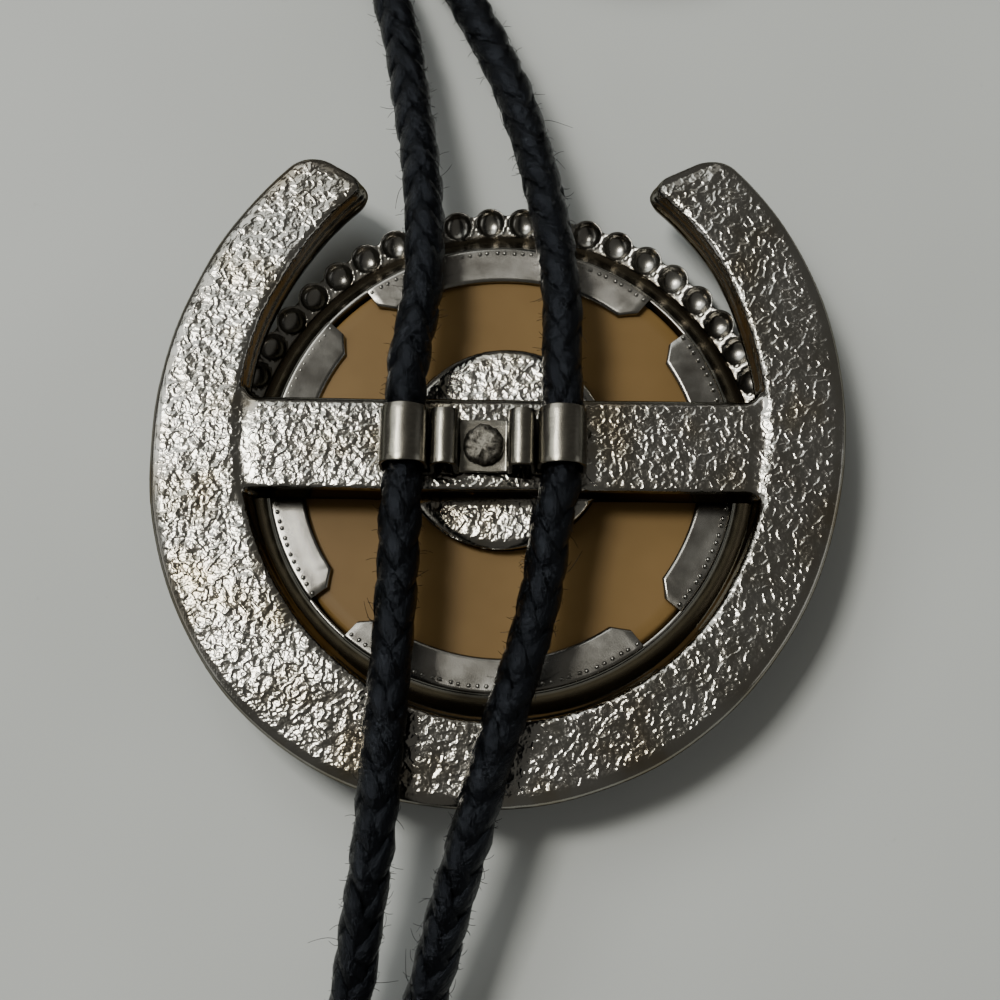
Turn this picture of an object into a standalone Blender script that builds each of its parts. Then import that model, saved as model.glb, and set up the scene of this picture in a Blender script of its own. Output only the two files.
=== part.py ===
"""A bolo tie lying face down: a cast horseshoe with a set disc before it, and a cord held by a bent clip on its back.

Metres, +Z up. The back faces up. The origin lies on the floor, under the middle of the horseshoe's outline.
"""
import math

import bmesh
import bpy
from mathutils import Vector

# Fits and sheets
FIT_GAP = 0.0003
SMOOTH_ANGLE = math.radians(35)

# Horseshoe, seen from the back with its open end at +Y
HORSESHOE_WIDTH = 0.0629
HORSESHOE_LENGTH = 0.0617
WIDEST_ABOVE_MIDDLE = 0.0036
ARM_WIDTH = 0.0082
TOE_WIDTH = 0.0083
LOWER_FULLNESS = 2.09
OUTER_CROWN = 0.0349
INNER_CROWN = 0.0281
HEEL_OUTER_ANGLE = math.radians(52.3)
HEEL_INNER_ANGLE = math.radians(58.0)
HEEL_CORNER_RADIUS = 0.0018
HORSESHOE_THICKNESS = 0.0038
CAST_DRAFT = 0.0005
CAST_EDGE_RADIUS = 0.0009

# Crossbar and round pad, cast in one with the horseshoe
BAR_MIDDLE_Y = 0.0016
BAR_HEIGHT = 0.0081
BAR_SUNK_BELOW_BACK = 0.00015
BAR_THICKNESS = 0.0033
BAR_EDGE_RADIUS = 0.0009
BAR_FILLET = 0.0014
BAR_BITE = 0.0030
PAD_RADIUS = 0.0096
PAD_MIDDLE_X = 0.0002
PAD_MIDDLE_Y = 0.0027
PAD_THICKNESS = 0.0015
PAD_EDGE_RADIUS = 0.0005

# Set disc and its bezel
BEZEL_MIDDLE_Y = 0.00145
INSERT_FACE_RADIUS = 0.0184
INSERT_BODY_RADIUS = 0.02095
INSERT_FACE_RISE = 0.00115
INSERT_THICKNESS = 0.0034
INSERT_EDGE = 0.0003
SHEET_THICKNESS = 0.0004
TAB_REACH = 0.00305
TAB_COUNT = 4
TAB_GAP_ANGLE = math.radians(12.5)
TAB_TURN = math.radians(-1.2)
TAB_CORNER = 0.0012
BEAD_COUNT = 50
BEAD_DEPTH = 0.00135
BEAD_MIDDLE = 0.745
BEAD_REACH = 0.255
BEAD_SCALLOP = 0.0003
BORDER_WIDTH = 0.00455
BORDER_FOOT = 0.0011
BORDER_RISE = 0.0007
WALL_FOOT_FLARE = 0.0006

# Clip bent from a strip, and its rivet
CLIP_MIDDLE_X = -0.00145
CLIP_WIDTH = 0.00525
STRIP_THICKNESS = 0.0004
PLATE_HALF_WIDTH = 0.00225
SMALL_HUMP_WIDTH = 0.00247
SMALL_HUMP_HEIGHT = 0.0036
LOOP_HEIGHT = 0.0046
LOOP_END_HEIGHT = 0.0017
SEAM_GAP = 0.00014
BEND_RADIUS = 0.0005
RIVET_HEAD_RADIUS = 0.00175
RIVET_HEAD_HEIGHT = 0.0009
RIVET_SHANK_RADIUS = 0.0009
RIVET_SHANK_LENGTH = 0.0023

# Cord and tips
CORD_DIAMETER = 0.004
CORD_PINCH_GAP = 0.00025
CORD_SWELL_LENGTH = 0.0009
TIP_LENGTH = 0.050
TIP_BORE_DEPTH = 0.008
TIP_COLLAR_LENGTH = 0.003
TIP_COLLAR_WALL = 0.0004
TIP_WALL = 0.00028
TIP_END_RADIUS = 0.0016
TIP_END_LENGTH = 0.0012

# Heights and places that follow from the sizes above
TAB_UNDERSIDE = INSERT_THICKNESS + FIT_GAP
TAB_TOP = TAB_UNDERSIDE + SHEET_THICKNESS
PAD_FRONT = INSERT_THICKNESS + FIT_GAP
PAD_BACK = PAD_FRONT + PAD_THICKNESS
HORSESHOE_FRONT = TAB_TOP + FIT_GAP
HORSESHOE_BACK = HORSESHOE_FRONT + HORSESHOE_THICKNESS
BAR_BACK = HORSESHOE_BACK - BAR_SUNK_BELOW_BACK
BAR_FRONT = min(BAR_BACK - BAR_THICKNESS, PAD_BACK - 0.2 * PAD_THICKNESS)
HORSESHOE_HALF_WIDTH = HORSESHOE_WIDTH / 2
HORSESHOE_HALF_LENGTH = HORSESHOE_LENGTH / 2
WALL_INNER_RADIUS = INSERT_BODY_RADIUS + FIT_GAP
WALL_OUTER_RADIUS = WALL_INNER_RADIUS + SHEET_THICKNESS
TAB_INNER_RADIUS = WALL_INNER_RADIUS - TAB_REACH
LIP_FRONT = INSERT_FACE_RISE - FIT_GAP - SHEET_THICKNESS
LIP_INNER_RADIUS = INSERT_FACE_RADIUS + FIT_GAP
CLIP_MIDDLE_Y = BAR_MIDDLE_Y
CLIP_BASE = BAR_BACK + FIT_GAP
LOOP_OUTER_WIDTH = CORD_DIAMETER + STRIP_THICKNESS
SMALL_HUMP_OUT = PLATE_HALF_WIDTH + SMALL_HUMP_WIDTH
LOOP_MIDDLE_X = SMALL_HUMP_OUT + SEAM_GAP + LOOP_OUTER_WIDTH / 2
CORD_RADIUS = CORD_DIAMETER / 2
CORD_IN_CLIP_Z = CLIP_BASE + LOOP_HEIGHT / 2
CORD_IN_CLIP_RADIUS = LOOP_OUTER_WIDTH / 2 - STRIP_THICKNESS - CORD_PINCH_GAP
HOLE_RADIUS = RIVET_SHANK_RADIUS + FIT_GAP
TIP_BORE_RADIUS = CORD_RADIUS + FIT_GAP

# The cord's points are chosen by hand for a horseshoe 62.9 by 61.7 whose back clears the floor by 8.5.
# They are (x, y, rise) in thousandths, and rise is counted from a cord that lies on the floor.
ROUTE_X = HORSESHOE_WIDTH / 62.9
ROUTE_Y = HORSESHOE_LENGTH / 61.7
ROUTE_RISE = (HORSESHOE_BACK + FIT_GAP) / 8.5
NECK_LOOP_POINTS = [
    (-8.3, 9.0, 8.6), (-7.3, 16.6, 8.1), (-7.6, 25.8, 7.1), (-9.1, 36.5, 5.6), (-11.7, 48.8, 3.4),
    (-15.3, 57.5, 1.3), (-20.9, 68.0, 0.0), (-26.2, 81.5, 0.0), (-28.5, 98.0, 0.0),
    (-28.2, 138.0, 0.0), (-20.5, 150.5, 0.0), (-5.5, 150.5, 0.0), (2.0, 138.0, 0.0),
    (2.5, 104.0, 0.0), (2.9, 71.0, 0.0), (8.3, 62.3, 0.0), (17.9, 62.3, 0.0), (23.3, 71.0, 0.0),
    (23.9, 93.0, 0.0), (20.6, 116.0, 0.0), (13.6, 128.5, 0.0), (12.0, 140.0, 0.0),
    (20.2, 148.4, 0.0), (28.2, 139.5, 0.0), (28.9, 105.0, 0.0),
    (28.0, 71.0, 0.0), (20.7, 57.2, 0.0), (5.3, 57.2, 0.0), (-1.9, 71.0, 0.0),
    (-2.3, 104.0, 0.0), (-2.8, 137.5, 0.0), (-8.1, 145.5, 0.0), (-18.2, 145.5, 0.0),
    (-23.4, 137.5, 0.0), (-23.9, 112.0, 0.0), (-22.9, 90.0, 0.0), (-17.3, 71.6, 0.0),
    (-9.8, 58.9, 1.5), (-4.5, 49.1, 3.5), (0.9, 36.6, 5.6), (3.8, 25.7, 7.1), (5.3, 16.6, 8.1),
    (5.5, 9.0, 8.6),
]
LEFT_END_POINTS = [
    (-8.6, -5.6, 8.6), (-8.7, -13.3, 8.6), (-9.6, -29.0, 8.55), (-10.1, -35.6, 7.9),
    (-11.6, -46.8, 5.2), (-12.1, -50.0, 4.3),
]
RIGHT_END_POINTS = [
    (4.8, -5.6, 8.6), (3.8, -13.1, 8.6), (-0.6, -28.9, 8.55), (-2.3, -35.5, 7.9),
    (-5.3, -46.8, 5.2), (-6.1, -50.0, 4.3),
]
LEFT_TIP_LEAN = -0.16
RIGHT_TIP_LEAN = -0.06
CORD_POINT_SPACING = 2.9 * CORD_DIAMETER


def clear_scene():
    for item in list(bpy.data.objects):
        bpy.data.objects.remove(item, do_unlink=True)


def make_material(name, colour, roughness, metallic):
    material = bpy.data.materials.new(name)
    material.use_nodes = True
    shader = material.node_tree.nodes["Principled BSDF"]
    shader.inputs["Base Color"].default_value = (*colour, 1.0)
    shader.inputs["Roughness"].default_value = roughness
    shader.inputs["Metallic"].default_value = metallic
    return material


def object_from(builder, name, material):
    """Makes a smooth-shaded object from a bmesh, with its faces turned out."""
    bmesh.ops.recalc_face_normals(builder, faces=builder.faces)
    mesh = bpy.data.meshes.new(name)
    builder.to_mesh(mesh)
    builder.free()
    mesh.shade_smooth()
    mesh.set_sharp_from_angle(angle=SMOOTH_ANGLE)
    made = bpy.data.objects.new(name, mesh)
    bpy.context.collection.objects.link(made)
    if material:
        made.data.materials.append(material)
    return made


def combine(target, other, operation):
    """Adds or cuts a guide solid, which is left out of the model itself."""
    other.hide_render = True
    other.display_type = "WIRE"
    modifier = target.modifiers.new(f"{operation.lower()}_{other.name}", "BOOLEAN")
    modifier.operation = operation
    modifier.solver = "EXACT"
    modifier.object = other


def skin_rings(builder, rings, closed):
    """Joins rings of equal length with faces, and caps the two ends of an open row."""
    rows = [[builder.verts.new(point) for point in ring] for ring in rings]
    pairs = list(zip(rows, rows[1:]))
    if closed:
        pairs.append((rows[-1], rows[0]))
    for first, second in pairs:
        for a in range(len(first)):
            b = (a + 1) % len(first)
            builder.faces.new((first[a], first[b], second[b], second[a]))
    if not closed:
        builder.faces.new(rows[0])
        builder.faces.new(list(reversed(rows[-1])))


def turned(profile, middle, sides):
    """A closed (radius, height) outline turned once round an upright axis through middle."""
    builder = bmesh.new()
    rings = []
    for step in range(sides):
        angle = 2 * math.pi * step / sides
        c, s = math.cos(angle), math.sin(angle)
        rings.append([(middle[0] + r * c, middle[1] + r * s, z) for r, z in profile])
    skin_rings(builder, rings, closed=True)
    return builder


def spun(profile, place, axis, sides):
    """A solid of revolution about axis through its (radius, distance) pairs, with flat ends."""
    turn = Vector((0, 0, 1)).rotation_difference(Vector(axis).normalized())
    builder = bmesh.new()
    rings = []
    for r, along in profile:
        ring = []
        for step in range(sides):
            angle = 2 * math.pi * step / sides
            spot = Vector((r * math.cos(angle), r * math.sin(angle), along))
            ring.append(Vector(place) + turn @ spot)
        rings.append(ring)
    skin_rings(builder, rings, closed=False)
    return builder


def round_edge(radius, steps):
    """(inset, drop) pairs round a quarter circle, from the flank up to the flat."""
    turns = [math.pi / 2 * step / steps for step in range(steps + 1)]
    return [(radius * (1 - math.cos(turn)), radius * (1 - math.sin(turn))) for turn in turns]


def curve_point(half_width, lower, upper, angle):
    """A point of a horseshoe curve: a full lower half, and an elliptical upper half."""
    c, s = math.cos(angle), math.sin(angle)
    if s >= 0:
        return Vector((half_width * c, WIDEST_ABOVE_MIDDLE + upper * s))
    power = 2 / LOWER_FULLNESS
    x = half_width * math.copysign(abs(c) ** power, c)
    return Vector((x, WIDEST_ABOVE_MIDDLE - lower * abs(s) ** power))


def outer_point(angle):
    lower = HORSESHOE_HALF_LENGTH + WIDEST_ABOVE_MIDDLE
    return curve_point(HORSESHOE_HALF_WIDTH, lower, OUTER_CROWN, angle)


def inner_point(angle):
    lower = HORSESHOE_HALF_LENGTH + WIDEST_ABOVE_MIDDLE - TOE_WIDTH
    return curve_point(HORSESHOE_HALF_WIDTH - ARM_WIDTH, lower, INNER_CROWN, angle)


def horseshoe_section(outer, inner, corner_inset, heel_drop):
    """One ring across an arm: a flat front, flanks that spread to the back, and round edges there."""
    across = (inner - outer).normalized()
    half = (inner - outer).length / 2
    middle = (inner + outer) / 2
    flank = [(corner_inset + CAST_DRAFT, HORSESHOE_FRONT)]
    for inset, drop in round_edge(CAST_EDGE_RADIUS, 3):
        flank.append((corner_inset + inset, HORSESHOE_BACK - heel_drop - drop))
    ring = []
    for inset, z in flank:
        spot = middle - across * (half - inset)
        ring.append((spot.x, spot.y, z))
    for inset, z in reversed(flank):
        spot = middle + across * (half - inset)
        ring.append((spot.x, spot.y, z))
    return ring


def horseshoe_stations(count):
    """(share, inset, drop) from heel to heel: a share of the way, and the heels' rounding."""
    arm_length = 2.5 * HORSESHOE_LENGTH
    heel = []
    for degrees in (12, 35, 60, 90):
        turn = math.radians(degrees)
        inset = HEEL_CORNER_RADIUS * (1 - math.sin(turn))
        reach = HEEL_CORNER_RADIUS * (1 - math.cos(turn)) / arm_length
        heel.append((reach, inset, CAST_EDGE_RADIUS * (1 - math.sin(turn))))
    between = [(step / count, 0.0, 0.0) for step in range(1, count)]
    far_heel = [(1 - reach, inset, drop) for reach, inset, drop in reversed(heel)]
    return heel + between + far_heel


def make_horseshoe(material):
    """Horseshoe, crossbar and pad as one casting."""
    builder = bmesh.new()
    outer_start = math.pi - HEEL_OUTER_ANGLE
    inner_start = math.pi - HEEL_INNER_ANGLE
    rings = []
    for share, inset, drop in horseshoe_stations(50):
        outer = outer_point(outer_start + share * (math.pi + 2 * HEEL_OUTER_ANGLE))
        inner = inner_point(inner_start + share * (math.pi + 2 * HEEL_INNER_ANGLE))
        rings.append(horseshoe_section(outer, inner, inset, drop))
    skin_rings(builder, rings, closed=False)
    horseshoe = object_from(builder, "horseshoe", material)
    combine(horseshoe, make_bar(), "UNION")
    combine(horseshoe, make_pad(), "UNION")
    combine(horseshoe, make_rivet_hole(), "DIFFERENCE")
    return horseshoe


def make_bar():
    """The crossbar, whose ends widen into the arms."""
    builder = bmesh.new()
    inside = HORSESHOE_HALF_WIDTH - ARM_WIDTH
    reach = inside + BAR_BITE
    start = inside - BAR_FILLET
    fillet = [start + BAR_FILLET * math.sin(math.radians(turn)) for turn in (0, 20, 40, 65, 90)]
    right = [start / 2] + fillet + [reach]
    spots = [-x for x in reversed(right)] + [0.0] + right
    rings = []
    for x in spots:
        into = min(max(abs(x) - start, 0.0), BAR_FILLET)
        half = BAR_HEIGHT / 2 + BAR_FILLET - math.sqrt(BAR_FILLET ** 2 - into ** 2)
        flank = [(half, BAR_FRONT)]
        for inset, drop in round_edge(BAR_EDGE_RADIUS, 3):
            flank.append((half - CAST_DRAFT / 2 - inset, BAR_BACK - drop))
        ring = [(x, BAR_MIDDLE_Y - y, z) for y, z in flank]
        ring += [(x, BAR_MIDDLE_Y + y, z) for y, z in reversed(flank)]
        rings.append(ring)
    skin_rings(builder, rings, closed=False)
    return object_from(builder, "bar_guide", None)


def make_pad():
    profile = [(PAD_RADIUS, PAD_FRONT)]
    for inset, drop in round_edge(PAD_EDGE_RADIUS, 2):
        profile.append((PAD_RADIUS - inset, PAD_BACK - drop))
    builder = spun(profile, (PAD_MIDDLE_X, PAD_MIDDLE_Y, 0), (0, 0, 1), 40)
    return object_from(builder, "pad_guide", None)


def make_rivet_hole():
    bottom = BAR_BACK + STRIP_THICKNESS + FIT_GAP - RIVET_SHANK_LENGTH
    profile = [(HOLE_RADIUS, bottom), (HOLE_RADIUS, BAR_BACK + 2 * STRIP_THICKNESS)]
    builder = spun(profile, (CLIP_MIDDLE_X, CLIP_MIDDLE_Y, 0), (0, 0, 1), 16)
    return object_from(builder, "rivet_hole_guide", None)


def make_insert(material):
    """The set disc: a face that stands a little proud of the bezel, and a wider body behind."""
    profile = [
        (INSERT_FACE_RADIUS - INSERT_EDGE, 0.0),
        (INSERT_FACE_RADIUS, INSERT_EDGE),
        (INSERT_FACE_RADIUS, INSERT_FACE_RISE),
        (INSERT_BODY_RADIUS, INSERT_FACE_RISE),
        (INSERT_BODY_RADIUS, INSERT_THICKNESS - INSERT_EDGE),
        (INSERT_BODY_RADIUS - INSERT_EDGE, INSERT_THICKNESS),
    ]
    builder = spun(profile, (0, BEZEL_MIDDLE_Y, 0), (0, 0, 1), 56)
    return object_from(builder, "insert_disc", material)


def border_base(share):
    """(radius, height) of the border's front before its beads, from its foot to its edge."""
    foot = WALL_OUTER_RADIUS - 0.5 * SHEET_THICKNESS
    radius = foot + share * (BORDER_WIDTH + 0.5 * SHEET_THICKNESS)
    return radius, BORDER_FOOT + BORDER_RISE * share ** 2


def bulge(share, beside, shrink):
    """The share of a bead's depth at a point: beside is -1 to 1 across the bead."""
    across = beside / (1 - shrink)
    along = (share - BEAD_MIDDLE) / (BEAD_REACH * (1 - shrink))
    return math.sqrt(max(0.0, 1 - across ** 2 - along ** 2))


def make_border():
    """The beaded border: a sheet with a row of hollow beads pressed towards the front."""
    builder = bmesh.new()
    rings = []
    shrink = 0.6 * SHEET_THICKNESS / (BEAD_REACH * BORDER_WIDTH)
    bead_shares = [BEAD_MIDDLE + part * BEAD_REACH for part in (-0.95, -0.56, 0.0, 0.56)]
    for bead in range(BEAD_COUNT):
        for beside in (-1.0, -0.5, 0.0, 0.5):
            angle = 2 * math.pi * (bead + beside / 2) / BEAD_COUNT
            edge_push = BEAD_SCALLOP * (1 - 2 * beside ** 2)
            front = []
            for share in [0.0] + bead_shares + [1.0]:
                radius, height = border_base(share)
                height -= BEAD_DEPTH * bulge(share, beside, 0.0)
                front.append((radius + edge_push * share ** 3, height))
            back = []
            for share in [0.97] + bead_shares[::-1] + [0.0]:
                radius, height = border_base(share)
                height += SHEET_THICKNESS - BEAD_DEPTH * bulge(share, beside, shrink)
                back.append((radius + edge_push * share ** 3, height))
            c, s = math.cos(angle), math.sin(angle)
            rings.append([(r * c, BEZEL_MIDDLE_Y + r * s, z) for r, z in front + back])
    skin_rings(builder, rings, closed=True)
    return object_from(builder, "border_guide", None)


def make_tab(number):
    """One folded tab, with cut-off inner corners, lying on the back of the disc."""
    pitch = 2 * math.pi / TAB_COUNT
    start = TAB_TURN + pitch * (number + 0.5) + TAB_GAP_ANGLE / 2
    sweep = pitch - TAB_GAP_ANGLE
    corner = TAB_CORNER / TAB_INNER_RADIUS / sweep
    foot = TAB_UNDERSIDE - 0.3 * SHEET_THICKNESS
    inside = WALL_INNER_RADIUS - 0.3 * SHEET_THICKNESS
    outside = WALL_OUTER_RADIUS + 0.3 * SHEET_THICKNESS
    steps = 12
    shares = [(0.0, TAB_CORNER), (corner, 0.0)]
    shares += [(step / steps, 0.0) for step in range(1, steps)]
    shares += [(1 - corner, 0.0), (1.0, TAB_CORNER)]
    builder = bmesh.new()
    rings = []
    for share, cut in shares:
        angle = start + share * sweep
        inner = TAB_INNER_RADIUS + cut
        profile = [
            (inner, TAB_UNDERSIDE),
            (inside, TAB_UNDERSIDE),
            (inside, foot),
            (outside, foot),
            (outside, TAB_TOP - 0.6 * SHEET_THICKNESS),
            (outside - 0.6 * SHEET_THICKNESS, TAB_TOP),
            (inner, TAB_TOP),
        ]
        c, s = math.cos(angle), math.sin(angle)
        rings.append([(r * c, BEZEL_MIDDLE_Y + r * s, z) for r, z in profile])
    skin_rings(builder, rings, closed=False)
    return object_from(builder, f"tab_guide_{number}", None)


def make_bezel(material):
    """The stamped setting: lip, wall, beaded border and four tabs in one sheet-metal piece."""
    profile = [
        (LIP_INNER_RADIUS, LIP_FRONT),
        (WALL_OUTER_RADIUS, LIP_FRONT),
        (WALL_OUTER_RADIUS + 0.5 * WALL_FOOT_FLARE, BORDER_FOOT + 0.3 * SHEET_THICKNESS),
        (WALL_OUTER_RADIUS + WALL_FOOT_FLARE, BORDER_FOOT + 0.6 * SHEET_THICKNESS),
        (WALL_OUTER_RADIUS + 0.3 * WALL_FOOT_FLARE, BORDER_FOOT + SHEET_THICKNESS + WALL_FOOT_FLARE),
        (WALL_OUTER_RADIUS, TAB_UNDERSIDE),
        (WALL_INNER_RADIUS, TAB_UNDERSIDE),
        (WALL_INNER_RADIUS, LIP_FRONT + SHEET_THICKNESS),
        (LIP_INNER_RADIUS, LIP_FRONT + SHEET_THICKNESS),
    ]
    bezel = object_from(turned(profile, (0, BEZEL_MIDDLE_Y), 72), "bezel", material)
    combine(bezel, make_border(), "UNION")
    for number in range(TAB_COUNT):
        combine(bezel, make_tab(number), "UNION")
    return bezel


def arc(middle_x, middle_z, radius, start, end, steps):
    """Points round an arc, its angles in degrees."""
    points = []
    for step in range(steps + 1):
        angle = math.radians(start + (end - start) * step / steps)
        points.append((middle_x + radius * math.cos(angle), middle_z + radius * math.sin(angle)))
    return points


def clip_half_line():
    """The middle line of the strip's right half, from the rivet out to the loop's end: (x, height)."""
    half = STRIP_THICKNESS / 2
    bend = BEND_RADIUS
    hump_in = PLATE_HALF_WIDTH + half
    hump_out = SMALL_HUMP_OUT - half
    hump_radius = (hump_out - hump_in) / 2
    loop_in = SMALL_HUMP_OUT + SEAM_GAP + half
    loop_out = loop_in + LOOP_OUTER_WIDTH - STRIP_THICKNESS
    loop_radius = (loop_out - loop_in) / 2
    hump_middle = SMALL_HUMP_HEIGHT - half - hump_radius
    loop_middle = LOOP_HEIGHT - half - loop_radius
    line = [(HOLE_RADIUS, half)]
    line += arc(hump_in - bend, half + bend, bend, -90, 0, 3)
    line += arc((hump_in + hump_out) / 2, hump_middle, hump_radius, 180, 0, 6)
    line += arc(hump_out + bend, half + bend, bend, 180, 270, 3)
    line += arc(loop_out - 2 * bend, half + 2 * bend, 2 * bend, -90, 0, 4)
    line += arc((loop_in + loop_out) / 2, loop_middle, loop_radius, 0, 180, 10)
    line.append((loop_in, LOOP_END_HEIGHT))
    return line


def offset_line(line, distance):
    """The line moved sideways by distance, mitred at its corners."""
    points = [Vector(point) for point in line]
    runs = [(b - a).normalized() for a, b in zip(points, points[1:])]
    moved = []
    for number, point in enumerate(points):
        first = runs[max(number - 1, 0)]
        second = runs[min(number, len(runs) - 1)]
        side = Vector((-first.y - second.y, first.x + second.x)).normalized()
        stretch = max(side.dot(Vector((-first.y, first.x))), 0.5)
        moved.append(point + side * (distance / stretch))
    return moved


def make_clip(material):
    """The clip: a strip bent over the cords on both sides of its riveted middle."""
    right = clip_half_line()
    line = [(-x, z) for x, z in reversed(right)] + right
    half = STRIP_THICKNESS / 2
    outline = offset_line(line, half) + list(reversed(offset_line(line, -half)))
    builder = bmesh.new()
    rings = []
    for y in (CLIP_MIDDLE_Y - CLIP_WIDTH / 2, CLIP_MIDDLE_Y + CLIP_WIDTH / 2):
        rings.append([(CLIP_MIDDLE_X + p.x, y, CLIP_BASE + p.y) for p in outline])
    skin_rings(builder, rings, closed=False)
    clip = object_from(builder, "clip", material)
    low, high = CLIP_BASE - STRIP_THICKNESS, CLIP_BASE + 2 * STRIP_THICKNESS
    hole = [(HOLE_RADIUS, low), (HOLE_RADIUS, high)]
    hole_builder = spun(hole, (CLIP_MIDDLE_X, CLIP_MIDDLE_Y, 0), (0, 0, 1), 16)
    combine(clip, object_from(hole_builder, "clip_hole_guide", None), "DIFFERENCE")
    return clip


def make_rivet(material):
    """The rivet through the clip's plate, with a low hand-set head."""
    seat = CLIP_BASE + STRIP_THICKNESS + FIT_GAP
    profile = [
        (RIVET_SHANK_RADIUS, seat - RIVET_SHANK_LENGTH),
        (RIVET_SHANK_RADIUS, seat),
        (RIVET_HEAD_RADIUS * 0.97, seat),
        (RIVET_HEAD_RADIUS, seat + 0.25 * RIVET_HEAD_HEIGHT),
        (RIVET_HEAD_RADIUS * 0.9, seat + 0.7 * RIVET_HEAD_HEIGHT),
        (RIVET_HEAD_RADIUS * 0.6, seat + 0.95 * RIVET_HEAD_HEIGHT),
        (RIVET_HEAD_RADIUS * 0.25, seat + RIVET_HEAD_HEIGHT),
    ]
    builder = spun(profile, (CLIP_MIDDLE_X, CLIP_MIDDLE_Y, 0), (0, 0, 1), 20)
    return object_from(builder, "rivet", material)


def between_knots(first, second, low, high, t):
    return first * ((high - t) / (high - low)) + second * ((t - low) / (high - low))


def smooth_through(points, steps):
    """A centripetal curve through the points, in short steps."""
    points = [Vector(point) for point in points]
    row = [2 * points[0] - points[1]] + points + [2 * points[-1] - points[-2]]
    curve = []
    for a, b, c, d in zip(row, row[1:], row[2:], row[3:]):
        k1 = math.sqrt((b - a).length)
        k2 = k1 + math.sqrt((c - b).length)
        k3 = k2 + math.sqrt((d - c).length)
        for step in range(steps):
            t = k1 + (k2 - k1) * step / steps
            ab = between_knots(a, b, 0.0, k1, t)
            bc = between_knots(b, c, k1, k2, t)
            cd = between_knots(c, d, k2, k3, t)
            abc = between_knots(ab, bc, 0.0, k2, t)
            bcd = between_knots(bc, cd, k1, k3, t)
            place = between_knots(abc, bcd, k1, k2, t)
            curve.append(Vector((place.x, place.y, max(place.z, CORD_RADIUS))))
    curve.append(points[-1])
    return curve


def evenly_along(curve, spacing):
    """Points at equal distances along the curve, about spacing apart, with both of its ends."""
    runs = [0.0]
    for a, b in zip(curve, curve[1:]):
        runs.append(runs[-1] + (b - a).length)
    count = max(2, round(runs[-1] / spacing))
    picked = []
    place = 0
    for step in range(count):
        goal = runs[-1] * step / count
        while runs[place + 1] < goal:
            place += 1
        share = (goal - runs[place]) / (runs[place + 1] - runs[place])
        picked.append(curve[place].lerp(curve[place + 1], share))
    picked.append(curve[-1])
    return picked


def routed(points):
    """Hand-chosen route points as places in the model."""
    return [(x * ROUTE_X, y * ROUTE_Y, CORD_RADIUS + rise * ROUTE_RISE) for x, y, rise in points]


def clip_leads(side, way):
    """The cord's (place, share of full radius) from inside the clip to just outside its mouth."""
    x = CLIP_MIDDLE_X + side * LOOP_MIDDLE_X
    pinched = CORD_IN_CLIP_RADIUS / CORD_RADIUS
    mouth = CLIP_WIDTH / 2 + FIT_GAP
    leads = []
    for away, share in ((FIT_GAP / 2, pinched), (mouth, pinched), (mouth + CORD_SWELL_LENGTH, 1.0)):
        leads.append((Vector((x, CLIP_MIDDLE_Y + way * away, CORD_IN_CLIP_Z)), share))
    return leads


def make_cord(name, course, material):
    """A plain round cord through the (place, share of full radius) pairs of its course."""
    curve = bpy.data.curves.new(name, "CURVE")
    curve.dimensions = "3D"
    curve.bevel_depth = CORD_DIAMETER / 2
    curve.bevel_resolution = 2
    curve.use_fill_caps = True
    spline = curve.splines.new("POLY")
    spline.points.add(len(course) - 1)
    for point, (place, share) in zip(spline.points, course):
        point.co = (*place, 1.0)
        point.radius = share
    cord = bpy.data.objects.new(name, curve)
    bpy.context.collection.objects.link(cord)
    cord.data.materials.append(material)
    return cord


def make_neck_loop(material):
    """The long loop, from one side of the clip round to the other."""
    leaving = clip_leads(-1, 1)
    coming_back = list(reversed(clip_leads(1, 1)))
    route = [leaving[-1][0]] + routed(NECK_LOOP_POINTS) + [coming_back[0][0]]
    middle = evenly_along(smooth_through(route, 12), CORD_POINT_SPACING)
    course = leaving + [(place, 1.0) for place in middle[1:-1]] + coming_back
    return make_cord("cord_neck_loop", course, material)


def make_free_end(name, side, points, lean, cord_material, tip_material):
    """A free end of the cord from the clip down to its metal tip, which slopes to the floor."""
    leads = clip_leads(side, -1)
    route = [leads[-1][0]] + routed(points)
    middle = evenly_along(smooth_through(route, 12), CORD_POINT_SPACING)
    collar = middle[-1]
    drop = collar.z - TIP_END_RADIUS
    level = Vector((lean, -1.0, 0.0)).normalized() * math.sqrt(TIP_LENGTH ** 2 - drop ** 2)
    aim = Vector((level.x, level.y, -drop)).normalized()
    course = leads + [(place, 1.0) for place in middle[1:]]
    course.append((collar + aim * (TIP_BORE_DEPTH - FIT_GAP), 1.0))
    cord = make_cord(f"cord_end_{name}", course, cord_material)
    collar_radius = TIP_BORE_RADIUS + TIP_COLLAR_WALL
    body_radius = TIP_BORE_RADIUS + TIP_WALL
    profile = [
        (TIP_BORE_RADIUS, TIP_BORE_DEPTH),
        (TIP_BORE_RADIUS, 0.0),
        (collar_radius, 0.0),
        (collar_radius, TIP_COLLAR_LENGTH),
        (body_radius, TIP_COLLAR_LENGTH + TIP_COLLAR_WALL),
        (body_radius, TIP_BORE_DEPTH + 2 * TIP_WALL),
        (TIP_END_RADIUS, TIP_LENGTH - TIP_END_LENGTH),
        (TIP_END_RADIUS * 0.5, TIP_LENGTH),
    ]
    builder = spun(profile, collar, aim, 16)
    return cord, object_from(builder, f"tip_{name}", tip_material)


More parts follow.
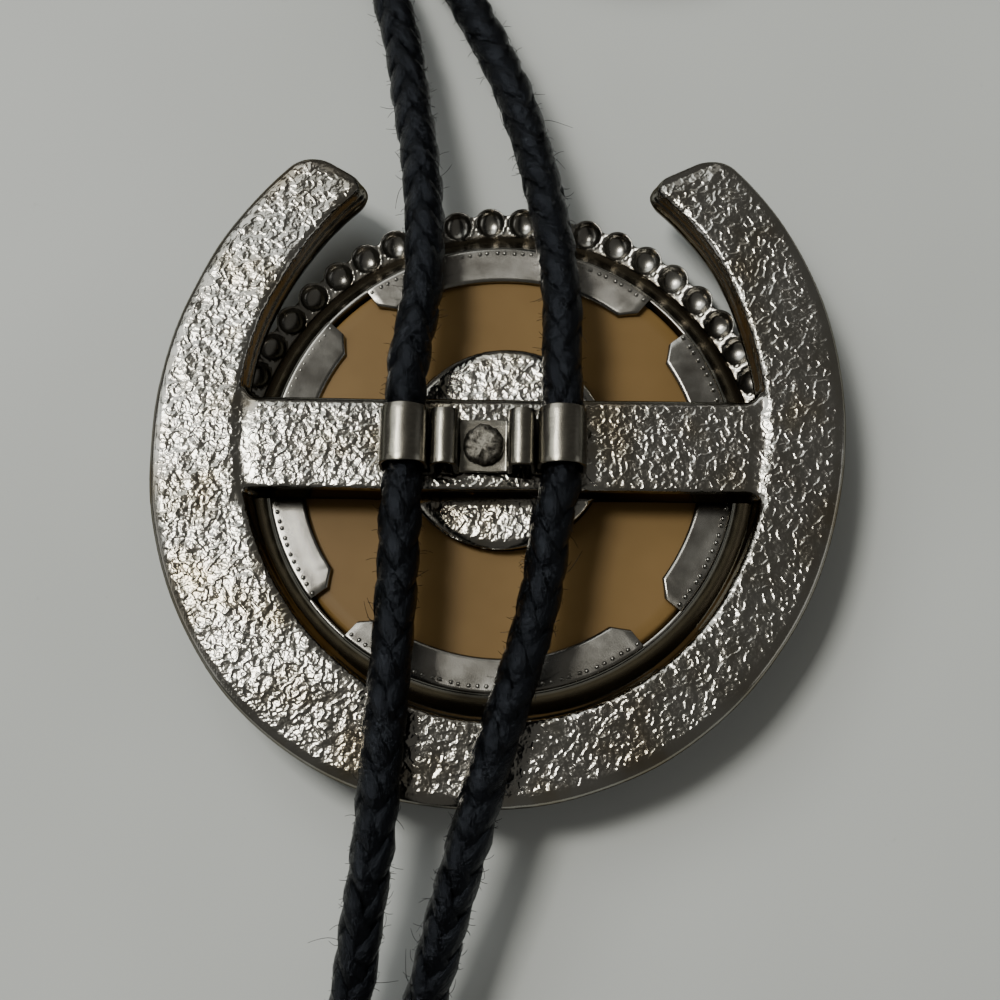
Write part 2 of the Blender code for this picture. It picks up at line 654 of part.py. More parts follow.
clear_scene()
silver = make_material("silver_plated_casting", (0.62, 0.60, 0.56), 0.35, 1.0)
stamped = make_material("nickel_plated_sheet", (0.66, 0.64, 0.60), 0.30, 1.0)
strip = make_material("satin_steel_strip", (0.60, 0.60, 0.60), 0.35, 1.0)
riveted = make_material("rough_rivet_steel", (0.40, 0.40, 0.40), 0.55, 1.0)
tan = make_material("tan_resin", (0.40, 0.31, 0.10), 0.45, 0.0)
braid = make_material("black_waxed_braid", (0.012, 0.012, 0.014), 0.45, 0.0)
bright = make_material("bright_plated_tip", (0.70, 0.69, 0.66), 0.20, 1.0)
make_horseshoe(silver)
make_bezel(stamped)
make_insert(tan)
make_clip(strip)
make_rivet(riveted)
make_neck_loop(braid)
make_free_end("left", -1, LEFT_END_POINTS, LEFT_TIP_LEAN, braid, bright)
make_free_end("right", 1, RIGHT_END_POINTS, RIGHT_TIP_LEAN, braid, bright)
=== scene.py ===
"""The bolo tie dressed for its picture: a cast horseshoe, a beaded bezel, a bent clip and a waxed braided cord.

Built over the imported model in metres, +Z up. The sizes and the cord's route are those of the model's own source.
"""
import math

import bmesh
import bpy
import numpy as np
from mathutils import Matrix, Vector, kdtree, noise


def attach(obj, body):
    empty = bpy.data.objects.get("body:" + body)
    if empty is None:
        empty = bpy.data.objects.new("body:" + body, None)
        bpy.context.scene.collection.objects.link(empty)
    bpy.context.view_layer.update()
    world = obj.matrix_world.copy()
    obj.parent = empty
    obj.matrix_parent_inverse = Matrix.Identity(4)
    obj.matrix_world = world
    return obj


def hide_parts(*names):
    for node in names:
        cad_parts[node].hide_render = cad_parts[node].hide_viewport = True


MM = 0.001
RNG = np.random.default_rng(7)

# Sizes in millimetres, as in the model
HALF_WIDTH, HALF_LENGTH, WIDEST_Y = 31.45, 30.85, 3.6
ARM, TOE, FULLNESS = 8.2, 8.3, 2.09
OUTER_CROWN, INNER_CROWN = 34.9, 28.1
HEEL_OUTER, HEEL_INNER = math.radians(52.3), math.radians(58.0)
FRONT_Z, BACK_Z, DRAFT = 4.4, 8.2, 0.5
BAR_Y, BAR_HALF, BAR_Z, BAR_BASE_Z = 1.6, 4.05, 8.05, 4.75
PAD_X, PAD_Y, PAD_R, PAD_Z0, PAD_Z1 = 0.2, 2.7, 9.6, 3.7, 5.2
BEZEL_Y = 1.45
SHEET = 0.4
WALL_IN, WALL_OUT, TAB_IN, TAB_Z = 21.25, 21.65, 18.2, 3.7
TAB_TURN, TAB_GAP, TAB_CORNER = -1.2, 12.5, 1.3
BEADS, BEAD_RING, BEAD_REACH = 50, 25.1, 1.42
CLIP_X, CLIP_BASE, CLIP_WIDTH, STRIP = -1.45, 8.35, 5.25, 0.4
HUMP_IN, HUMP_OUT, HUMP_TOP = 2.25, 4.72, 3.6
LOOP_GAP, LOOP_ACROSS, LOOP_TOP = 0.14, 4.0, 4.6
LOOP_X, CORD_R, CORD_CLIP_Z, PINCH = 7.06, 2.0, 10.65, 0.775
TIP_LENGTH, TIP_GRIP = 50, 7.7

# How this one casting departs from an even one: its outline leans to the right towards the top, the inner
# outline swells at the lower left, the bar is wider above, the toe sinks and the pad tilts
LEAN, LEAN_RATE, INNER_LEAN, INNER_SWELL = -0.42, 0.034, 0.3, 0.03
BAR_FILLET, BAR_WIDER, HEEL_ROUND, EDGE = 0.8, 1.05, 2.3, 0.65
TOE_SINKS_BELOW, TOE_SINKS = -20.0, 0.055
PAD_TILT_X, PAD_TILT_Y = 0.065, 0.02
# The inner rim's two small steps, as (inset, drop) from the wall up to the flat
INNER_RIM = [
    (0.0, 1.9), (0.05, 1.5), (0.20, 1.15), (0.38, 1.0), (0.50, 0.95), (0.62, 0.55), (0.80, 0.20), (1.10, 0.0),
]
VOXEL, QUICK_VOXEL = 0.236, 0.5
# The rise of each bent tab towards its wall, for each millimetre across
TAB_TILTS = [0.05, 0.12, 0.04, -0.04]
DOTS_PER_TAB = 34

CORD_STEP, FAR_STEP, QUICK_STEP = 0.55, 1.2, 2.0
FIBRES_PER_MM, FAR_FIBRES_SKIPPED = 10.0, 0.85

NECK_LOOP_POINTS = [
    (-8.3, 9.0, 8.6), (-7.3, 16.6, 8.1), (-7.6, 25.8, 7.1), (-9.1, 36.5, 5.6), (-11.7, 48.8, 3.4),
    (-15.3, 57.5, 1.3), (-20.9, 68.0, 0.0), (-26.2, 81.5, 0.0), (-28.5, 98.0, 0.0),
    (-28.2, 138.0, 0.0), (-20.5, 150.5, 0.0), (-5.5, 150.5, 0.0), (2.0, 138.0, 0.0),
    (2.5, 104.0, 0.0), (2.9, 71.0, 0.0), (8.3, 62.3, 0.0), (17.9, 62.3, 0.0), (23.3, 71.0, 0.0),
    (23.9, 93.0, 0.0), (20.6, 116.0, 0.0), (13.6, 128.5, 0.0), (12.0, 140.0, 0.0),
    (20.2, 148.4, 0.0), (28.2, 139.5, 0.0), (28.9, 105.0, 0.0),
    (28.0, 71.0, 0.0), (20.7, 57.2, 0.0), (5.3, 57.2, 0.0), (-1.9, 71.0, 0.0),
    (-2.3, 104.0, 0.0), (-2.8, 137.5, 0.0), (-8.1, 145.5, 0.0), (-18.2, 145.5, 0.0),
    (-23.4, 137.5, 0.0), (-23.9, 112.0, 0.0), (-22.9, 90.0, 0.0), (-17.3, 71.6, 0.0),
    (-9.8, 58.9, 1.5), (-4.5, 49.1, 3.5), (0.9, 36.6, 5.6), (3.8, 25.7, 7.1), (5.3, 16.6, 8.1),
    (5.5, 9.0, 8.6),
]
LEFT_END_POINTS = [
    (-8.6, -5.6, 8.6), (-8.7, -13.3, 8.6), (-9.6, -29.0, 8.55), (-10.1, -35.6, 7.9),
    (-11.6, -46.8, 5.2), (-12.1, -50.0, 4.3),
]
RIGHT_END_POINTS = [
    (4.8, -5.6, 8.6), (3.8, -13.1, 8.6), (-0.6, -28.9, 8.55), (-2.3, -35.5, 7.9),
    (-5.3, -46.8, 5.2), (-6.1, -50.0, 4.3),
]


# Shader helpers
def linear(code):
    """An sRGB hex code as a linear colour."""
    out = []
    for i in (0, 2, 4):
        c = int(code[i:i + 2], 16) / 255
        out.append(c / 12.92 if c <= 0.04045 else ((c + 0.055) / 1.055) ** 2.4)
    return (*out, 1.0)


def node(tree, kind, inputs=None, **settings):
    """A new node with its settings, and its inputs set or linked."""
    made = tree.nodes.new(kind)
    for key, value in settings.items():
        setattr(made, key, value)
    for key, value in (inputs or {}).items():
        if isinstance(value, bpy.types.NodeSocket):
            tree.links.new(value, made.inputs[key])
        else:
            made.inputs[key].default_value = value
    return made


def surface(name, colour, roughness, metallic, **sockets):
    """A material and its tree, shader and object coordinates."""
    material = bpy.data.materials.new(name)
    material.use_nodes = True
    tree = material.node_tree
    shader = tree.nodes["Principled BSDF"]
    shader.inputs["Base Color"].default_value = linear(colour)
    shader.inputs["Roughness"].default_value = roughness
    shader.inputs["Metallic"].default_value = metallic
    for key, value in sockets.items():
        shader.inputs[key.replace("_", " ")].default_value = value
    place = node(tree, "ShaderNodeTexCoord").outputs["Object"]
    return material, tree, shader, place


def grain(tree, place, size_mm, detail=3.0, rough=0.55, stretch=None):
    """Noise whose features are about size_mm across, and may be stretched along an axis."""
    if stretch:
        place = node(tree, "ShaderNodeMapping", {"Vector": place, "Scale": stretch}).outputs[0]
    made = node(tree, "ShaderNodeTexNoise", {
        "Vector": place, "Scale": 1000.0 / size_mm, "Detail": detail, "Roughness": rough,
    })
    return made.outputs["Fac"]


def ramp(tree, factor, stops):
    """A colour ramp: stops are (place, hex code)."""
    made = node(tree, "ShaderNodeValToRGB", {"Fac": factor})
    row = made.color_ramp.elements
    while len(row) < len(stops):
        row.new(0.5)
    for element, (at, code) in zip(row, stops):
        element.position = at
        element.color = linear(code)
    return made.outputs["Color"]


def spread(tree, factor, low, high, start=0.3, end=0.7):
    """A number from low to high as factor goes from start to end."""
    made = node(tree, "ShaderNodeMapRange", {
        "Value": factor, "From Min": start, "From Max": end, "To Min": low, "To Max": high,
    })
    return made.outputs["Result"]


def bumped(tree, shader, layers):
    """Bump layers of (height socket, strength, depth in mm), one on the other."""
    normal = None
    for height, strength, depth in layers:
        inputs = {"Height": height, "Strength": strength, "Distance": depth * MM}
        if normal:
            inputs["Normal"] = normal
        normal = node(tree, "ShaderNodeBump", inputs).outputs["Normal"]
    tree.links.new(normal, shader.inputs["Normal"])


def walled(tree, tint, dark):
    """A tint that turns dark where the surface is steep: painted shade on a casting's walls."""
    normal = node(tree, "ShaderNodeNewGeometry").outputs["Normal"]
    upward = node(tree, "ShaderNodeSeparateXYZ", {0: normal}).outputs[2]
    share = spread(tree, upward, 1.0, 0.0, 0.0, 0.35)
    mixed = node(tree, "ShaderNodeMix", {0: share, 6: tint, 7: linear(dark)}, data_type="RGBA")
    return mixed.outputs[2]


# Mesh helpers
def mesh_object(name, points, faces, material, uv=None):
    """A smooth mesh object from points in millimetres."""
    mesh = bpy.data.meshes.new(name)
    mesh.from_pydata((np.asarray(points) * MM).tolist(), [], faces)
    if uv is not None:
        layer = mesh.uv_layers.new(name="strand")
        corners = np.empty(len(mesh.loops), dtype=np.int32)
        mesh.loops.foreach_get("vertex_index", corners)
        layer.data.foreach_set("uv", np.asarray(uv)[corners].astype(np.float32).ravel())
    mesh.shade_smooth()
    made = bpy.data.objects.new(name, mesh)
    bpy.context.collection.objects.link(made)
    mesh.materials.append(material)
    return made


def grid_faces(rows, columns, wrap_rows, wrap_columns, start=0):
    """Quads of a grid of points that is numbered row by row."""
    r = np.arange(rows if wrap_rows else rows - 1)
    c = np.arange(columns if wrap_columns else columns - 1)
    a, b = np.meshgrid(r, c, indexing="ij")
    a2, b2 = (a + 1) % rows, (b + 1) % columns
    quads = np.stack([a * columns + b, a * columns + b2, a2 * columns + b2, a2 * columns + b], -1)
    return (quads.reshape(-1, 4) + start).tolist()


def ring_solid(rings, caps=True):
    """Points and faces of rings of equal length, joined in a row and capped at both ends."""
    rings = np.asarray(rings, dtype=float)
    rows, columns = rings.shape[:2]
    faces = grid_faces(rows, columns, False, True)
    if caps:
        faces.append(list(range(columns)))
        faces.append([(rows - 1) * columns + i for i in reversed(range(columns))])
    return rings.reshape(-1, 3), faces


def merged(parts):
    """Several (points, faces) as one."""
    points, faces, count = [], [], 0
    for p, f in parts:
        points.append(p)
        faces += [[i + count for i in face] for face in f]
        count += len(p)
    return np.concatenate(points), faces


def finished(made):
    """Bakes an object's modifiers into a plain mesh."""
    graph = bpy.context.evaluated_depsgraph_get()
    mesh = bpy.data.meshes.new_from_object(made.evaluated_get(graph))
    made.modifiers.clear()
    made.data = mesh
    return made


def outward(made):
    """Turns the faces out."""
    b = bmesh.new()
    b.from_mesh(made.data)
    bmesh.ops.recalc_face_normals(b, faces=b.faces)
    b.to_mesh(made.data)
    b.free()
    return made


def bevelled(made, width, segments=2, angle=35):
    """Rounds the edges sharper than angle and keeps the flats flat."""
    bevel = made.modifiers.new("round", "BEVEL")
    bevel.width = width * MM
    bevel.segments = segments
    bevel.limit_method = "ANGLE"
    bevel.angle_limit = math.radians(angle)
    return flat_faced(made)


def flat_faced(made):
    """Weights the normals so that rounded edges don't shade the flats."""
    weighted = made.modifiers.new("flats", "WEIGHTED_NORMAL")
    weighted.keep_sharp = True
    weighted.weight = 90
    return finished(made)


def place_piece(made, slot, *nodes):
    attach(made, "root")
    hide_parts(*nodes)


def fade(x, low, high):
    t = np.clip((x - low) / (high - low), 0, 1)
    return t * t * (3 - 2 * t)


# Materials
def cast_silver():
    """Silver-plated casting: a mirror-bright crumpled skin, smooth rims, a little warm tarnish and painted shade
    on its steep walls.
    """
    material, tree, shader, place = surface("silver_plated_casting", "A19D94", 0.24, 1.0)
    broad = grain(tree, place, 8.0, 3.0)
    tint = ramp(tree, broad, [(0.32, "807868"), (0.46, "8C8981"), (0.60, "989690"), (0.76, "8F8878")])
    # Painted shade: the base colour turns dark grey-brown on the steep walls and rims
    tree.links.new(walled(tree, tint, "6A655B"), shader.inputs["Base Color"])
    shader.inputs["Specular Tint"].default_value = linear("77736B")
    lumps = grain(tree, place, 0.85, 2.0, 0.5)
    curls = grain(tree, place, 1.15, 1.0, 0.5)
    away = node(tree, "ShaderNodeMath", {0: curls, 1: 0.5}, operation="SUBTRACT").outputs[0]
    away = node(tree, "ShaderNodeMath", {0: away}, operation="ABSOLUTE").outputs[0]
    ridges = node(tree, "ShaderNodeMapRange", {
        "Value": away, "From Min": 0.0, "From Max": 0.11, "To Min": 1.0, "To Max": 0.0,
    }, interpolation_type="SMOOTHSTEP").outputs["Result"]
    islands = node(tree, "ShaderNodeMath", {0: ridges, 1: 0.28, 2: lumps}, operation="MULTIPLY_ADD")
    specks = grain(tree, place, 0.32, 2.0, 0.5)
    skin = node(tree, "ShaderNodeAttribute", attribute_name="skin").outputs["Fac"]
    tree.links.new(spread(tree, specks, 0.13, 0.20), shader.inputs["Roughness"])
    height = node(tree, "ShaderNodeMath", {0: islands.outputs[0], 1: skin}, operation="MULTIPLY").outputs[0]
    small = node(tree, "ShaderNodeMath", {0: specks, 1: skin}, operation="MULTIPLY").outputs[0]
    bumped(tree, shader, [(height, 1.0, 0.115), (small, 0.8, 0.026)])
    return material


def nickel_sheet():
    """Nickel-plated stamped sheet with a satin face, and painted shade in its groove."""
    material, tree, shader, place = surface("nickel_plated_sheet", "96958F", 0.22, 1.0)
    cloud = grain(tree, place, 3.0, 4.0)
    speck = grain(tree, place, 0.14, 2.0)
    tint = ramp(tree, cloud, [(0.3, "7B7871"), (0.6, "908E88")])
    # Painted shade: the groove between the wall and the beads is mixed towards a dark brown
    groove = node(tree, "ShaderNodeAttribute", attribute_name="groove").outputs["Fac"]
    mixed = node(tree, "ShaderNodeMix", {0: groove, 6: tint, 7: linear("5C523F")}, data_type="RGBA")
    tree.links.new(mixed.outputs[2], shader.inputs["Base Color"])
    tree.links.new(spread(tree, cloud, 0.20, 0.28), shader.inputs["Roughness"])
    bumped(tree, shader, [(speck, 0.30, 0.012), (cloud, 0.10, 0.06)])
    return material


def tan_resin():
    """Smooth tan resin with faint clouds."""
    material, tree, shader, place = surface("tan_resin", "745A30", 0.45, 0.0, Specular_IOR_Level=0.15)
    cloud = grain(tree, place, 11.0, 3.0)
    speck = grain(tree, place, 0.35, 2.0)
    tint = ramp(tree, cloud, [(0.3, "6F562E"), (0.7, "7D633A")])
    tree.links.new(tint, shader.inputs["Base Color"])
    bumped(tree, shader, [(speck, 0.05, 0.02)])
    return material


def satin_strip():
    """Steel strip with a satin face and fine lines along it."""
    material, tree, shader, place = surface("satin_steel_strip", "706D65", 0.24, 1.0)
    lines = grain(tree, place, 0.5, 3.0, 0.6, (1.0, 9.0, 1.0))
    speck = grain(tree, place, 0.12, 2.0)
    tint = ramp(tree, lines, [(0.3, "67645B"), (0.7, "7E7B72")])
    tree.links.new(tint, shader.inputs["Base Color"])
    tree.links.new(spread(tree, lines, 0.20, 0.27), shader.inputs["Roughness"])
    bumped(tree, shader, [(lines, 0.15, 0.010), (speck, 0.45, 0.014)])
    return material


def rivet_steel():
    """Hammered rivet steel, scuffed."""
    material, tree, shader, place = surface("rough_rivet_steel", "8E8A84", 0.42, 1.0)
    scuff = grain(tree, place, 0.45, 5.0, 0.7)
    tint = ramp(tree, scuff, [(0.35, "2B2925"), (0.6, "716E66")])
    tree.links.new(tint, shader.inputs["Base Color"])
    bumped(tree, shader, [(scuff, 0.9, 0.10)])
    return material


def waxed_braid():
    """Black waxed thread: fine fibres along each strand, with a cool shine."""
    material, tree, shader, place = surface(
        "black_waxed_braid", "030303", 0.34, 0.0, Specular_IOR_Level=0.28,
    )
    shader.inputs["Specular Tint"].default_value = linear("BAC4D6")
    strand = node(tree, "ShaderNodeUVMap", uv_map="strand").outputs["UV"]
    fibre_place = node(tree, "ShaderNodeMapping", {"Vector": strand, "Scale": (26.0, 1.8, 1.0)}).outputs[0]
    fibres = node(tree, "ShaderNodeTexNoise", {
        "Vector": fibre_place, "Scale": 1.0, "Detail": 5.0, "Roughness": 0.65,
    }).outputs["Fac"]
    wax = grain(tree, place, 1.1, 4.0)
    fluff = grain(tree, place, 0.22, 3.0)
    tint = ramp(tree, fibres, [(0.35, "010101"), (0.7, "040405")])
    tree.links.new(tint, shader.inputs["Base Color"])
    tree.links.new(spread(tree, wax, 0.09, 0.25), shader.inputs["Roughness"])
    bumped(tree, shader, [(fibres, 1.0, 0.17), (wax, 0.7, 0.26), (fluff, 0.3, 0.03)])
    return material


def bright_tip():
    """Turned metal with a bright plating and faint turning lines."""
    material, tree, shader, place = surface("bright_plated_tip", "C6C3BC", 0.16, 1.0)
    rings = grain(tree, place, 0.7, 2.0, 0.5, (0.2, 6.0, 0.2))
    tree.links.new(spread(tree, rings, 0.12, 0.24), shader.inputs["Roughness"])
    bumped(tree, shader, [(rings, 0.10, 0.01)])
    return material


def pale_floor():
    """Pale smooth table top with faint clouds and a few scuffs."""
    material, tree, shader, place = surface("pale_table", "C0C3C0", 0.6, 0.0, Specular_IOR_Level=0.2)
    cloud = grain(tree, place, 60.0, 2.0)
    scuff = grain(tree, place, 3.0, 5.0, 0.65)
    tint = ramp(tree, cloud, [(0.3, "BABDBA"), (0.7, "C4C7C4")])
    marks = ramp(tree, scuff, [(0.24, "B4B5B0"), (0.31, "FFFFFF")])
    mixed = node(
        tree, "ShaderNodeMix", {0: 0.25, 6: tint, 7: marks}, data_type="RGBA", blend_type="MULTIPLY",
    )
    tree.links.new(mixed.outputs[2], shader.inputs["Base Color"])
    return material


# Casting
def curve_point(half_width, lower, upper, angle):
    """A point of an outline that is round above its widest place and fuller below it."""
    c, s = math.cos(angle), math.sin(angle)
    if s >= 0:
        return np.array([half_width * c, WIDEST_Y + upper * s])
    power = 2 / FULLNESS
    return np.array([half_width * math.copysign(abs(c) ** power, c), WIDEST_Y - lower * abs(s) ** power])


def arm_ends(share):
    """The outer and inner outline points at a share of the way from heel to heel."""
    outer_turn = math.pi - HEEL_OUTER + share * (math.pi + 2 * HEEL_OUTER)
    inner_turn = math.pi - HEEL_INNER + share * (math.pi + 2 * HEEL_INNER)
    lower = HALF_LENGTH + WIDEST_Y
    outer = curve_point(HALF_WIDTH, lower, OUTER_CROWN, outer_turn)
    inner = curve_point(HALF_WIDTH - ARM, lower - TOE, INNER_CROWN, inner_turn)
    outer[0] += LEAN + LEAN_RATE * outer[1]
    inner[0] += INNER_LEAN * fade(inner[1], 12.0, 22.0)
    if inner[1] < BAR_Y:
        low_left = math.exp(-((inner[0] + 17.5) / 9.0) ** 2) * fade(-inner[1], -1.0, 4.0)
        inner *= 1 - INNER_SWELL * low_left
    return outer, inner


def edge_turns(steps):
    """A rounded edge as (inset, drop), from the wall up to the flat."""
    turns = [math.pi / 2 * i / steps for i in range(steps + 1)]
    return [(EDGE * (1 - math.cos(t)), EDGE * (1 - math.sin(t))) for t in turns]


def casting_arms():
    """The horseshoe from heel to heel, with rounded corners at both heels."""
    run, stations = 154, []
    for i in range(14):
        turn = math.radians(8 + 82 * i / 13)
        along, in_from = 1 - math.cos(turn), 1 - math.sin(turn)
        stations.append((HEEL_ROUND * along / run, HEEL_ROUND * in_from, EDGE * in_from))
    row = stations + [(i / 300, 0.0, 0.0) for i in range(4, 297)]
    row += [(1 - share, inset, drop) for share, inset, drop in reversed(stations)]
    rings = []
    for share, inset, drop in row:
        outer, inner = arm_ends(share)
        across = (inner - outer) / np.linalg.norm(inner - outer)
        flank = [(inset + DRAFT, FRONT_Z)]
        flank += [(inset + i, BACK_Z - drop - d) for i, d in edge_turns(6)]
        rim = [(inset + DRAFT, FRONT_Z)]
        rim += [(inset + i, BACK_Z - drop - d) for i, d in INNER_RIM]
        ring = [[*(outer + across * i), z] for i, z in flank]
        ring += [[*(inner - across * i), z] for i, z in reversed(rim)]
        rings.append(ring)
    return ring_solid(rings)


def casting_bar():
    """The crossbar, with a fillet where it meets the arms and its ends inside them."""
    inside = HALF_WIDTH - ARM
    start = inside - BAR_FILLET
    xs = [start + BAR_FILLET * math.sin(math.radians(t)) for t in range(0, 91, 9)] + [inside + 3.0]
    xs = [-x for x in reversed(xs)] + [start * i / 20 for i in range(-19, 20)] + xs
    rings = []
    for x in xs:
        into = min(max(abs(x) - start, 0.0), BAR_FILLET)
        half = BAR_HALF + BAR_FILLET - math.sqrt(BAR_FILLET ** 2 - into ** 2)
        upper = [(half, BAR_BASE_Z)] + [(half - DRAFT / 2 - i, BAR_Z - d) for i, d in edge_turns(6)]
        lower = [(half, BAR_BASE_Z)] + [(half - 0.1 - 0.5 * i, BAR_Z - 0.5 * d) for i, d in edge_turns(6)]
        ring = [[x, BAR_Y - y, z] for y, z in lower]
        ring += [[x, BAR_Y + BAR_WIDER + y, z] for y, z in reversed(upper)]
        rings.append(ring)
    return ring_solid(rings)


def disc_solid(x, y, profile, sides):
    """A solid of revolution with flat ends from (radius, height) pairs."""
    turn = np.linspace(0, 2 * math.pi, sides, endpoint=False)
    rings = []
    for r, z in profile:
        rings.append(np.stack([x + r * np.cos(turn), y + r * np.sin(turn), np.full(sides, z)], -1))
    return ring_solid(rings)


def plan_edges():
    """Two trees of points seen from above: the casting's edges, and where the bar joins the arms."""
    spots, seams = [], []
    for i in range(601):
        outer, inner = arm_ends(i / 600)
        spots.append(outer)
        if abs(inner[1] - BAR_Y) > BAR_HALF + 0.2:
            spots.append(inner)
        else:
            seams.append(inner)
    for end in (0.0, 1.0):
        outer, inner = arm_ends(end)
        spots += [outer + (inner - outer) * i / 30 for i in range(31)]
    for x in np.arange(-HALF_WIDTH + ARM, HALF_WIDTH - ARM, 0.25):
        spots += [(x, BAR_Y - BAR_HALF - 0.7), (x, BAR_Y + BAR_HALF + BAR_WIDER)]
    trees = []
    for group in (spots, seams):
        tree = kdtree.KDTree(len(group))
        for i, spot in enumerate(group):
            tree.insert((spot[0], spot[1], 0), i)
        tree.balance()
        trees.append(tree)
    return trees


def crumple(p):
    """Height of the casting's crumpled skin at a point, in millimetres."""
    lumps = noise.noise(p * 0.85) + 0.6 * noise.noise(p * 1.7 + Vector((9, 4, 2)))
    folds = 1 - 2 * abs(noise.noise(p * 0.42 + Vector((3, 7, 1))))
    fine = noise.noise(p * 3.1 + Vector((1, 8, 6)))
    return 0.022 * math.tanh(2.2 * lumps) + 0.022 * folds + 0.004 * fine


def make_casting(material):
    """Arms, bar and pad melted into one skin by an even remesh, then crumpled on the flats."""
    pad_edge = [(0.0, 0.4), (0.15, 0.12), (0.5, 0.0)]
    pad_profile = [(PAD_R, PAD_Z0)] + [(PAD_R - inset, PAD_Z1 - drop) for inset, drop in pad_edge]
    parts = merged([casting_arms(), casting_bar(), disc_solid(PAD_X, PAD_Y, pad_profile, 160)])
    made = outward(mesh_object("casting", *parts, material))
    remesh = made.modifiers.new("even", "REMESH")
    remesh.mode = "VOXEL"
    remesh.voxel_size = VOXEL * MM
    remesh.use_smooth_shade = True
    finished(made)
    smooth = made.modifiers.new("soft", "SMOOTH")
    smooth.factor = 0.5
    smooth.iterations = 3
    finished(made)
    mesh = made.data
    count = len(mesh.vertices)
    co = np.empty(count * 3)
    normal = np.empty(count * 3)
    mesh.vertices.foreach_get("co", co)
    mesh.vertex_normals.foreach_get("vector", normal)
    co, normal = co.reshape(-1, 3) / MM, normal.reshape(-1, 3)
    edges, seams = plan_edges()
    skin = np.zeros(count)
    for i in range(count):
        x, y, z = co[i]
        if normal[i, 2] < 0.5 or z < PAD_Z1 - 0.3:
            continue
        if z < BACK_Z - 1.5:
            near = PAD_R - math.hypot(x - PAD_X, y - PAD_Y)
            skin[i] = fade(near, 0.3, 0.9)
        else:
            near = edges.find((x, y, 0))[2]
            skin[i] = fade(near, 0.5, 1.1) * (0.35 + 0.65 * fade(seams.find((x, y, 0))[2], 0.2, 0.9))
    rise = np.array([crumple(Vector(p)) for p in co])
    wave = np.array([noise.noise(Vector(p) * 0.13) for p in co])
    waved = co[:, 2:3] > FRONT_Z + 0.5
    x, y = co[:, 0] - PAD_X, co[:, 1] - PAD_Y
    pad = (co[:, 2] > PAD_Z1 - 0.6) & (co[:, 2] < PAD_Z1 + 0.3) & (np.hypot(x, y) < PAD_R + 0.1)
    co[:, 2] += np.where(pad, PAD_TILT_X * x + PAD_TILT_Y * y, 0)
    toe = TOE_SINKS * np.clip(TOE_SINKS_BELOW - co[:, 1], 0, None)
    co[:, 2] -= np.where(co[:, 2] > FRONT_Z + 0.5, toe, 0)
    co += normal * (skin * rise)[:, None] + np.where(waved, normal * wave[:, None] * 0.12, 0)
    mesh.vertices.foreach_set("co", (co * MM).ravel())
    layer = mesh.attributes.new("skin", "FLOAT", "POINT")
    layer.data.foreach_set("value", (0.06 + 0.94 * skin).astype(np.float32))
    mesh.update()
    mesh.shade_smooth()
    mesh.materials.clear()
    mesh.materials.append(material)
    place_piece(made, "silver_plated_casting", "horseshoe")


# Bezel
def border_solid():
    """The border: a sheet with 50 round hollow beads, open to the back, and a scalloped edge."""
    per_bead, foot = 18, WALL_OUT - 0.2
    count = BEADS * per_bead
    angle = 2 * math.pi * np.arange(count) / count
    beside = (((np.arange(count) / per_bead + 0.5) % 1) - 0.5) * 2 * math.pi * BEAD_RING / BEADS
    edge = BEAD_RING + np.maximum(np.sqrt(np.clip(1.45 ** 2 - beside ** 2, 0, None)), 0.72)
    shares = np.concatenate([np.linspace(0, 0.36, 5), np.linspace(0.40, 1.0, 22)])
    front, back = (BEAD_REACH, 0.95), (BEAD_REACH - 0.1, 0.75)
    rows = [(s, 0.0, *front) for s in shares] + [(1.012, 0.5 * SHEET, *front)]
    rows += [(s, SHEET, *back) for s in shares[::-1]]
    rings = []
    for share, lift, reach, depth in rows:
        radius = foot + share * (edge - foot)
        away = np.hypot(beside, radius - BEAD_RING)
        dome = np.sqrt(np.clip(1 - (away / reach) ** 2, 0, 1))
        rim = 0.14 * np.exp(-((away - 1.34) / 0.14) ** 2)
        height = 1.15 + 0.55 * share ** 2 + lift + rim - depth * dome
        x, y = radius * np.cos(angle), BEZEL_Y + radius * np.sin(angle)
        rings.append(np.stack([x, y, height], -1))
    rings = np.asarray(rings)
    return rings.reshape(-1, 3), grid_faces(len(rings), count, True, True)


def wall_solid():
    """The lip and the wall that the tabs grow from."""
    profile = [
        (18.7, 0.45), (21.65, 0.45), (22.0, 1.2), (23.2, 1.55), (23.75, 1.85), (23.5, 1.98), (23.0, 2.22),
        (22.4, 2.68), (21.9, 3.3), (21.66, 3.74), (21.58, 3.8), (21.32, 3.8), (WALL_IN, 3.74), (WALL_IN, 0.85),
        (18.7, 0.85),
    ]
    sides = 360
    angle = 2 * math.pi * np.arange(sides) / sides
    rings = []
    for r, z in profile:
        rings.append(np.stack([r * np.cos(angle), BEZEL_Y + r * np.sin(angle), np.full(sides, z)], -1))
    return np.asarray(rings).reshape(-1, 3), grid_faces(len(profile), sides, True, True)


def tab_span(number):
    """Where one tab starts, and its sweep."""
    return math.radians(TAB_TURN + 90 * (number + 0.5) + TAB_GAP / 2), math.radians(90 - TAB_GAP)


